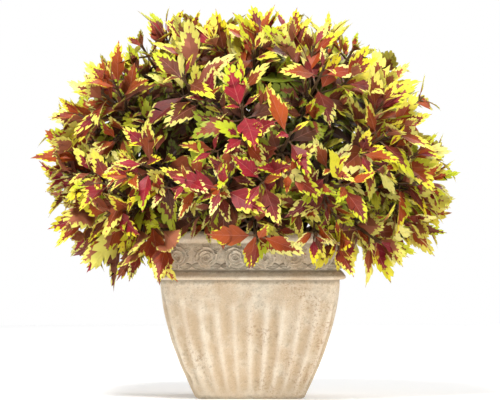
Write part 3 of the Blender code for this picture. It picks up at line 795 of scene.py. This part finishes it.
stems = [main_stem(number, tip) for number, tip in enumerate(main_tips())]
thicket = Thicket(stems)
grown = []
for pair in range(MAIN_PAIRS):
    for stem in stems:
        for hand in range(2):
            draw = random.Random(100 * stem.number + 10 * pair + hand)
            tries = (proposed_leaf(stem, pair, hand, attempt, draw) for attempt in range(TRIES))
            leaf = next((leaf for leaf in tries if thicket.takes(stem.number, leaf)), None)
            if leaf:
                grown.append((stem, pair, leaf))


# Side shoots: a tip on the mound or a little inside it, joined to the nearest main stem

SIDE_SHOOTS = 270
SIDE_TRIES = 7
SIDE_DEPTHS = (0.76, 1.01)
SIDE_SIZES = (0.50, 0.90)
SIDE_JITTER = 0.012
CLOSING = 0.58
LOWEST_SIDE_TIP_Z = 0.230
HIGHEST_SIDE_TIP_Z = 0.552
SUN = Vector((-0.15, -0.80, 0.40))
SKY_SHARE = 0.45
FORKS = (0.08, 0.11, 0.15, 0.20)
LOWEST_FORK = 0.03
# How far out the side shoots reach at each height, as a share of the mound's own radius
SIDE_HEIGHTS = (0.23, 0.27, 0.32, 0.39, 0.44, 0.50, 0.56)
SIDE_REACHES = (0.88, 0.95, 1.00, 0.98, 0.92, 0.84, 0.78)
EDGE_SIZES = (0.80, 1.0)
EDGE_OPENNESS = (0.36, 0.55)
HANGING_BELOW_Z = 0.29
HANGING_GROWTH = 1.20
# Shoots that stand out of the mound at its edge or hang from its front: how far right and how high
EDGE_SHOOTS = (
    (-0.135, 0.580), (-0.096, 0.564), (-0.058, 0.566), (0.020, 0.576), (0.066, 0.560), (0.100, 0.556),
    (0.124, 0.570), (0.158, 0.508), (0.214, 0.494), (0.206, 0.466), (0.236, 0.428), (0.262, 0.388),
    (0.280, 0.345), (0.278, 0.305), (0.262, 0.268), (0.212, 0.246), (-0.216, 0.502), (-0.240, 0.480),
    (-0.268, 0.448), (-0.286, 0.395), (-0.290, 0.335), (-0.262, 0.284), (-0.220, 0.250), (-0.172, 0.236),
    (-0.132, 0.244), (0.140, 0.240),
)
FRONT_Y = -0.12
# Where the frieze shows between two shoots, and no leaf may end: from and to how far right, up to what height
OPEN_FRIEZE = (-0.100, -0.008)
OPEN_FRIEZE_TOP_Z = 0.244


class SideShoot(Stem):
    """A thinner shoot, whose leaves turn further and mostly towards the sunny front."""

    half_low, half_tip, light_turn = 0.0017, 0.0010, 0.75

    def light_at(self, point):
        return (super().light_at(point) * SKY_SHARE + SUN).normalized()


def side_shoot(draw, tip, size, openness):
    """A shoot from the fork that lies nearest, with a small preference for a high one."""
    choices = [(stem, at) for stem in stems for at in FORKS if at < stem.length - LOWEST_FORK]
    places = [(stem.frame(at)[0] - tip).length + 0.15 * at for stem, at in choices]
    parent, at = choices[int(np.argmin(places))]
    root, growth, _, _ = parent.frame(at)
    aim, _ = growing_aim(tip)
    reach = (tip - root).length
    handles = (root, root + growth * 0.35 * reach, tip - aim * 0.40 * reach, tip)
    shoot = SideShoot(parent.number, handles, draw.uniform(0, math.pi / 2))
    shoot.size, shoot.openness = size, openness
    return shoot


shoots = []
for number, (x, z) in enumerate(EDGE_SHOOTS):
    draw = random.Random(60000 + number)
    size = draw.uniform(*EDGE_SIZES) * (HANGING_GROWTH if x < 0 and z < HANGING_BELOW_Z else 1)
    shoots.append(side_shoot(draw, front_of_mound(x, z), size, draw.uniform(*EDGE_OPENNESS)))
    shoots[-1].at_edge = True
for number, tip in enumerate(spread_tips(SIDE_SHOOTS)):
    draw = random.Random(50000 + number)
    depth = draw.uniform(*SIDE_DEPTHS)
    outer = (depth - SIDE_DEPTHS[0]) / (SIDE_DEPTHS[1] - SIDE_DEPTHS[0])
    middle = Vector((0, 0, MOUND_CENTRE_Z - 0.03))
    tip = middle + (tip - middle) * depth
    tip += Vector([draw.uniform(-SIDE_JITTER, SIDE_JITTER) for _ in range(3)])
    tip.z = min(max(tip.z, LOWEST_SIDE_TIP_Z), HIGHEST_SIDE_TIP_Z)
    reach = float(np.interp(tip.z, SIDE_HEIGHTS, SIDE_REACHES))
    tip.x, tip.y = tip.x * reach, tip.y * reach
    aim, _ = growing_aim(tip)
    smallest, largest = SIDE_SIZES
    size = smallest + (largest - smallest) * outer * draw.uniform(0.6, 1.0)
    # Where the shoot leans sideways or straight up its leaves close towards its tip
    openness = 1 - CLOSING * math.hypot(aim.x, max(0, aim.z)) * draw.uniform(0.6, 1.1)
    shoots.append(side_shoot(draw, tip, size, openness))
# The pairs of the side shoots, then the old pairs low on the main stems
for pair in range(ALL_PAIRS):
    for number, shoot in enumerate(shoots if pair < MAIN_PAIRS else stems):
        for hand in range(2):
            draw = random.Random(900000 + 1000 * pair + 2 * number + hand)
            tries = [proposed_leaf(shoot, pair, hand, 2 * attempt, draw) for attempt in range(SIDE_TRIES)]
            leaf = next((leaf for leaf in tries if thicket.takes(shoot.number, leaf)), None)
            if leaf is None:
                leaf = tries[0]
                if leaf.trees()[1].overlap(thicket.planter):
                    continue
            end = leaf.spot(1, 0, 0)
            left, right = OPEN_FRIEZE
            if end.y < FRONT_Y and left < end.x < right and end.z < OPEN_FRIEZE_TOP_Z:
                continue
            grown.append((shoot, pair, leaf))


# The blade that every leaf is shaped from: a grid of columns from the stem to the tip, each with its
# place along the rib, its place along the edge and how far out the edge reaches there

BLADE_COLUMNS = (
    (-0.1905, -0.1905, 0.06), (0.0, 0.0, 0.06), (0.05, 0.08, 0.26), (0.13, 0.19, 0.58),
    (0.22, 0.31, 0.86), (0.30, 0.415, 0.98), (0.36, 0.515, 0.95), (0.42, 0.430, 0.56),
    (0.49, 0.605, 0.82), (0.55, 0.710, 0.70), (0.62, 0.620, 0.34), (0.70, 0.785, 0.48),
    (0.76, 0.885, 0.33), (0.83, 0.810, 0.13), (1.0, 1.0, 0.0),
)
# Where the edge would run if a cleft between two teeth weren't cut
UNCUT = {0.430: (0.53, 0.92), 0.620: (0.72, 0.66), 0.810: (0.90, 0.28)}
# Each leaf draws its own fold, ripple, sideways sweep, breadth and depth of cut
FOLDS = (0.05, 0.45)
RIPPLES = (0.02, 0.12)
SWEEPS = (-0.16, 0.16)
BREADTHS = (0.62, 0.94)
CUTTINGS = (0.45, 1.05)
YOUNG_BREADTH = 0.86
SMALL_LENGTHS = (0.040, 0.075)
SMALL_NARROWING = 0.20
SMALL_CUTTING = 0.25
BLADE_HALF_THICKNESS = 0.0004
THINNING_SHARE = 0.7


def new_layers(bm):
    """Layers for a point's place on its blade, its leaf's tone and the shade it stands in."""
    vectors, floats = bm.verts.layers.float_vector, bm.verts.layers.float
    return vectors.new("blade_place"), vectors.new("leaf_tone"), floats.new("leaf_shade")


def blade_pattern():
    """A closed blade in its own measures: x along it, y across it and z from its face, 0, to its back, 1."""
    bm = bmesh.new()
    place, _, _ = new_layers(bm)
    bmesh.ops.create_grid(bm, x_segments=len(BLADE_COLUMNS) - 1, y_segments=2, size=1)
    for vert in bm.verts:
        column = round((vert.co.x + 1) / 2 * (len(BLADE_COLUMNS) - 1))
        rib, edge, reach = BLADE_COLUMNS[column]
        across = round(vert.co.y) * reach
        vert.co = (edge if across else rib, across, 0.0 if round(vert.co.y) == 0 else 0.5)
        if reach == 0:
            vert.co = (rib, 0, 0.5)
    back = bmesh.ops.duplicate(bm, geom=bm.verts[:] + bm.edges[:] + bm.faces[:])["geom"]
    for item in back:
        if isinstance(item, bmesh.types.BMVert) and item.co.z == 0:
            item.co.z = 1
    bmesh.ops.remove_doubles(bm, verts=bm.verts, dist=1e-5)
    rim = [edge for edge in bm.edges if edge.is_boundary]
    bmesh.ops.contextual_create(bm, geom=rim)
    for vert in bm.verts:
        vert[place] = vert.co
    for face in bm.faces:
        face.smooth = True
    for edge in bm.edges:
        ends = [vert.co for vert in edge.verts]
        along_rim = all(abs(end.z - 0.5) < 0.1 for end in ends)
        along_rib = all(end.y == 0 for end in ends)
        edge.smooth = not (along_rim or along_rib)
    return mesh_from(bm, "blade_pattern")


def add_leaf(bm, layers, leaf, tone, shaded, draw):
    """Copies the pattern into a stem's mesh and lays it along the leaf, each with its own cut and curl."""
    first = len(bm.verts)
    bm.from_mesh(pattern)
    bm.verts.ensure_lookup_table()
    place, tones, shades = layers
    fold = draw.uniform(*FOLDS)
    ripple, phase = draw.uniform(*RIPPLES), draw.uniform(0, 2 * math.pi)
    twist = draw.uniform(-0.40, 0.40) + 0.45 * SUN.dot(leaf.across)
    sweep = draw.uniform(*SWEEPS)
    breadth = leaf.widest * draw.uniform(*BREADTHS) * (YOUNG_BREADTH if leaf.edge is YOUNG_EDGE else 1)
    small = float(np.interp(leaf.length, SMALL_LENGTHS, (1, 0)))
    breadth *= 1 - SMALL_NARROWING * small
    cutting = draw.uniform(*CUTTINGS) + SMALL_CUTTING * small
    for vert in bm.verts[first:]:
        share, across, back = vert[place]
        on_rib = abs(across) < 1e-6
        if round(share, 3) in UNCUT and not on_rib:
            cut = min(1.0, cutting * draw.uniform(0.5, 1.5))
            whole, reach = UNCUT[round(share, 3)]
            share = whole + (share - whole) * cut
            across = math.copysign(reach + (abs(across) - reach) * cut, across)
            vert[place] = (share, across, back)
        if 0.05 < share < 0.999 and not on_rib:
            share += draw.uniform(-0.022, 0.022)
            across *= draw.uniform(0.88, 1.10)
        half = across * breadth if share > 0.01 else math.copysign(PETIOLE_HALF, across) * (not on_rib)
        turn = twist * max(0, share) ** 2
        rise = fold * abs(half) + ripple * breadth * abs(across) * math.sin(9 * share + phase)
        thick = BLADE_HALF_THICKNESS if share > 0.01 else PETIOLE_HALF
        if share > THINNING_SHARE:
            thick *= max(0, 1 - share) / (1 - THINNING_SHARE)
        lift = rise + (thick * (1 - 2.4 * back) if on_rib else 0)
        side = half * math.cos(turn) - lift * math.sin(turn) + sweep * leaf.widest * max(0, share) ** 2
        vert.co = leaf.spot(share, side, half * math.sin(turn) + lift * math.cos(turn))
        vert[tones] = tone
        vert[shades] = shaded


# Places on the ramps of the heart and of the border
CRIMSONS = (0.0, 0.05, 0.10, 0.16, 0.22, 0.30)
RUSTS = (0.36, 0.42, 0.48, 0.54, 0.60, 0.66, 0.72, 0.78, 0.84)
BORDERS = (0.0, 0.04, 0.08, 0.12, 0.16, 0.30, 0.45, 0.55, 0.62)


def leaf_tone(main, leaf, draw):
    """Hue of the heart, how far the heart pushes the border back, and hue of the border; then the shade
    that the leaf stands in."""
    middle = leaf.spot(0.5, 0, 0)
    high = min(1, max(0, (middle.z - 0.46) / 0.12))
    low = min(1, max(0, (0.34 - middle.z) / 0.08))
    # Crimson and plum in the middle of the front, rust towards the top and the edges
    facing = math.exp(-((middle.z - 0.40) / 0.11) ** 2) * max(0, -middle.y / MOUND_RADIUS) ** 3
    share = mound_share(math.hypot(middle.x, middle.y), middle.z - MOUND_CENTRE_Z)
    depth = share ** (1 / MOUND_SQUARENESS)
    buried = min(1, max(0, (0.955 + 0.055 * facing - depth) / 0.19))
    crimson = draw.random() < (0.22 + 0.76 * facing if main else 0.13 + 0.62 * facing)
    heart = draw.choice(CRIMSONS if crimson else RUSTS)
    # Inside the mound the heart browns and the border greens
    dulled = buried * (1 - 0.6 * low)
    heart = heart * (1 - 0.6 * dulled) + 0.95 * 0.6 * dulled
    # The big leaves of the main stems are mostly heart, the small ones between them mostly border
    spread = draw.gauss(-0.07 + 0.24 * facing if main else -0.21 + 0.35 * facing, 0.11)
    spread += 0.12 * low - 0.11 * high - 0.27 * max(0, middle.x / MOUND_RADIUS)
    if draw.random() < (0.05 if main else 0.14 - 0.10 * low):
        spread -= draw.uniform(0.3, 1.0)
    border = draw.choice(BORDERS) * (1 - dulled) + draw.uniform(0.55, 1.0) * dulled
    shaded = buried * (1 - 0.8 * high) * (1 - 0.5 * low)
    return Vector((heart, spread, border)), shaded


# How far from the middle a leaf may end at each height
CROWN_HEIGHTS = (0.36, 0.40, 0.46, 0.50, 0.54, 0.555, 0.565, 0.58, 0.60, 0.63)
CROWN_REACHES = (0.345, 0.332, 0.305, 0.278, 0.264, 0.235, 0.200, 0.168, 0.150, 0.140)
CROWN_CENTRE_X = -0.010
LEAST_SHORTENED = 0.70
MIDDLE_HALF = 0.09
LOWEST_MIDDLE_TIP_Z = 0.208


def shorten_to_crown(leaf):
    """Shortens a leaf that stands out of the crown or hangs low before the planter's middle."""
    end = leaf.spot(1, 0, 0)
    beyond = math.hypot(end.x - CROWN_CENTRE_X, end.y) - np.interp(end.z, CROWN_HEIGHTS, CROWN_REACHES)
    if end.y < FRONT_Y and abs(end.x) < MIDDLE_HALF:
        beyond = max(beyond, LOWEST_MIDDLE_TIP_Z - end.z)
    if beyond > 0:
        share = max(LEAST_SHORTENED, 1 - 1.1 * beyond / leaf.length)
        leaf.length, leaf.widest = leaf.length * share, leaf.widest * share


# The blade's skin: a ragged heart between dark blotches and pale veins, and a yellow border round it

# How far out the heart reaches at each place along the blade
HEART_OUTLINE = (
    (0.0, 0.50), (0.08, 0.64), (0.18, 0.94), (0.29, 1.02), (0.38, 0.86),
    (0.48, 0.58), (0.60, 0.34), (0.72, 0.14), (0.80, 0.03), (0.86, 0.0),
)

foliage, shade = new_finish("coleus_foliage")
place = shade.layer("blade_place", "Vector")
tone = shade.layer("leaf_tone", "Vector")
spot = shade.node("TexCoord", {}, {}, "Object")
along, across, back = (shade.node("SeparateXYZ", {}, {0: place}, k) for k in range(3))
hue, spread, border = (shade.node("SeparateXYZ", {}, {0: tone}, k) for k in range(3))
out = across.maths("ABSOLUTE", across)
side_veins = (along - out * 0.32) * 33.0 + (shade.grain(spot, 60, 2) - 0.5) * 3.0
flames = side_veins.maths("COSINE", side_veins)
spikes = flames.maths("MAXIMUM", flames, 0.0)
ragged = (shade.grain(spot, 90, 2, 0.5) - 0.5) * 0.26 + (shade.grain(spot, 24, 1) - 0.5) * 0.55
ragged = ragged + (shade.grain(spot, 380, 2, 0.6) - 0.5) * 0.36
edge_of_heart = along.ramp(*HEART_OUTLINE) + spread + spikes * 0.20 + ragged
pale = (out - edge_of_heart).step(-0.02, 0.04)
heart = (hue - (along - 0.35) * 0.16).ramp(
    (0.0, (0.300, 0.012, 0.024)),
    (0.16, (0.235, 0.018, 0.024)),
    (0.30, (0.150, 0.024, 0.017)),
    (0.40, (0.260, 0.033, 0.011)),
    (0.54, (0.410, 0.072, 0.009)),
    (0.68, (0.260, 0.048, 0.009)),
    (0.80, (0.150, 0.035, 0.010)),
    (1.0, (0.030, 0.015, 0.009)),
)
blotches = shade.grain(spot, 75, 3, 0.6)
heart = (blotches.step(0.42, 0.70) * 0.30).blend(heart, (0.07, 0.014, 0.009))
midrib = (1 - out.step(0.010, 0.030)) * 0.8
side_lines = flames.step(0.975, 1.0) * (1 - out.step(0.5, 0.9))
veins = midrib.maths("MAXIMUM", midrib, side_lines * 0.42)
heart = (veins * 0.58).blend(heart, (0.60, 0.22, 0.16))
rim = border.ramp(
    (0.0, (0.76, 0.63, 0.022)),
    (0.30, (0.82, 0.73, 0.22)),
    (0.45, (0.70, 0.62, 0.032)),
    (0.62, (0.49, 0.54, 0.022)),
    (1.0, (0.24, 0.32, 0.015)),
)
rim = (shade.grain(spot, 240, 2, 0.6).step(0.58, 0.70) * 0.40).blend(rim, (0.36, 0.38, 0.02))
face = pale.blend(heart, rim)
underside = pale.blend((0.36, 0.120, 0.065), (0.72, 0.66, 0.13))
colour = back.step(0.49, 0.51).blend(face, underside)
stalk = 1 - along.step(-0.02, 0.01)
colour = stalk.blend(colour, (0.15, 0.085, 0.040))
colour = (shade.layer("leaf_shade") * 0.78).blend(colour, (0.014, 0.011, 0.006))
quilting = flames * -0.1 + veins * -0.9 + shade.grain(spot, 260, 3, 0.6) * 0.6
bump = shade.node("Bump", {}, {"Strength": 0.5, "Distance": 0.0010, "Height": quilting})
constants = {"Roughness": 0.50, "Specular IOR Level": 0.24, "Subsurface Weight": 0.22}
constants |= {"Subsurface Radius": (0.6, 0.45, 0.12), "Subsurface Scale": 0.002}
dress(foliage, constants, {"Base Color": colour, "Normal": bump})

pattern = blade_pattern()
STEM_PLACE = Vector((-0.5, 0, 0))
STEM_SHADE = 0.5
STEM_CORNER_CUT = 0.4
STEM_RINGS = 22
SHOOT_RINGS = 7
for stem in stems:
    bm = bmesh.new()
    layers = new_layers(bm)
    place, _, shades = layers
    low = stem.section(stem.length, STEM_HALF_LOW, STEM_CORNER_CUT)
    rings = [[Vector((*corner.xy, SOIL_TOP_Z - STEM_BURIED)) for corner in low]]
    walk = set(np.linspace(0.0, stem.length - 0.002, STEM_RINGS)) | set(stem.stations(PAIR_DISTANCES))
    walk = sorted(walk, reverse=True)
    rings += [stem.section(at, stem.half_at(at), STEM_CORNER_CUT) for at in walk]
    point, growth, _, _ = stem.frame(0)
    rings.append([point + growth * APEX_LENGTH * 0.8 + (corner - point) * 0.3 for corner in rings[-1]])
    skin_through(bm, rings)
    for shoot in shoots:
        if shoot.number == stem.number:
            walk = np.linspace(shoot.length, 0, SHOOT_RINGS)
            skin_through(bm, [shoot.section(at, shoot.half_at(at)) for at in walk])
    for vert in bm.verts:
        vert[place] = STEM_PLACE
        vert[shades] = STEM_SHADE
    for k, (shoot, pair, leaf) in enumerate(grown):
        if shoot.number == stem.number:
            draw = random.Random(200000 + k)
            main = shoot.at_edge or (shoot is stem and pair < MAIN_PAIRS)
            if not shoot.at_edge:
                shorten_to_crown(leaf)
            add_leaf(bm, layers, leaf, *leaf_tone(main, leaf, draw), draw)
    close_skin(bm)
    leafy = object_from(bm, f"coleus_stem_{stem.number + 1:02d}", foliage)
    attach(leafy, "root")
    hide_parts(f"leafy_stem_{stem.number + 1:02d}")
bpy.data.meshes.remove(pattern)


# Studio. A pale floor, a broad soft light above and to the left, a weaker one from the right, one
# behind, and a pale room.

FLOOR_RADIUS = 3.0
LIT_POINT = Vector((0, 0, 0.35))


def area_light(name, place, size, power):
    light = bpy.data.lights.new(name, "AREA")
    light.shape, light.size, light.energy = "DISK", size, power
    lamp = bpy.data.objects.new(name, light)
    lamp.location = place
    lamp.rotation_euler = (LIT_POINT - lamp.location).to_track_quat("-Z", "Y").to_euler()
    bpy.context.scene.collection.objects.link(lamp)


area_light("soft_key", Vector((-0.8, -2.0, 3.1)), 1.0, 160)
area_light("soft_fill", Vector((2.2, -2.4, 1.2)), 2.0, 38)
area_light("soft_back", Vector((0.9, 2.0, 2.8)), 1.6, 55)

paint, shade = new_finish("floor_paint")
glow = {"Emission Color": (1, 1, 1, 1), "Emission Strength": 0.32}
dress(paint, {"Base Color": (0.88, 0.88, 0.88, 1), "Roughness": 0.9, **glow}, {})
bm = bmesh.new()
bmesh.ops.create_circle(bm, cap_ends=True, segments=96, radius=FLOOR_RADIUS)
floor = object_from(bm, "floor", paint)

room = bpy.data.worlds.new("pale_room")
room.use_nodes = True
shade = Shade(room.node_tree)
seen = shade.node("LightPath", {}, {}, "Is Camera Ray")
sky = room.node_tree.nodes["Background"]
sky.inputs["Color"].default_value = (1, 1, 1, 1)
room.node_tree.links.new((seen * 0.76 + 0.24).socket, sky.inputs["Strength"])
bpy.context.scene.world = room
bpy.context.scene.view_settings.view_transform = "Standard"
